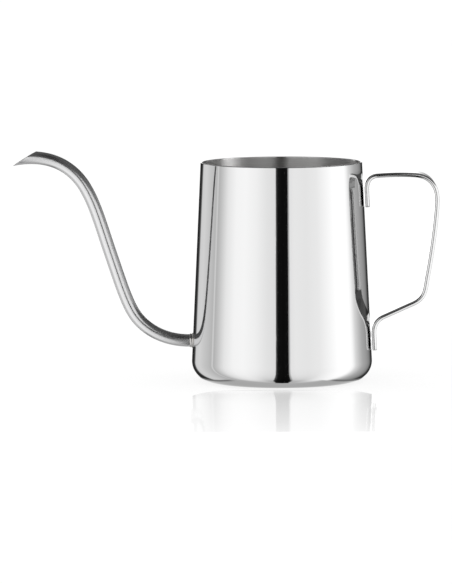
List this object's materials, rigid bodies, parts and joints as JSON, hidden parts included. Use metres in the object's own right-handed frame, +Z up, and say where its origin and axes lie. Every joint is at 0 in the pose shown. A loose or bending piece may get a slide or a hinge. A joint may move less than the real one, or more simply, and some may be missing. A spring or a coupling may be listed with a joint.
{
  "type": "gooseneck kettle",
  "caption": "Open-topped stainless steel pouring kettle: tapered drawn body, thin gooseneck tube spout with a beak-cut mouth, bent flat-strip handle.",
  "frame": {"origin": "centre of the flat underside, on the axis of the body", "axes": "+Z up along the body's axis, spout towards -X, handle towards +X, +Y completes the right-handed frame"},
  "size_m": [0.2126, 0.0902, 0.1153],
  "materials": {
    "body_steel": "mirror-polished stainless steel outside, fine circular satin inside",
    "spout_steel": "polished stainless steel tube with faint drawing lines",
    "handle_steel": "polished stainless steel strip, brushed on its cut edges",
    "weld_steel": "dressed and polished weld metal"
  },
  "bodies": {
    "root": {"body_shell": "body_steel", "spout_tube": "spout_steel", "spout_weld_ring": "weld_steel", "handle_strip": "handle_steel", "spot_weld_upper_1": "weld_steel", "spot_weld_upper_2": "weld_steel", "spot_weld_lower_1": "weld_steel", "spot_weld_lower_2": "weld_steel"}
  },
  "joints": []
}
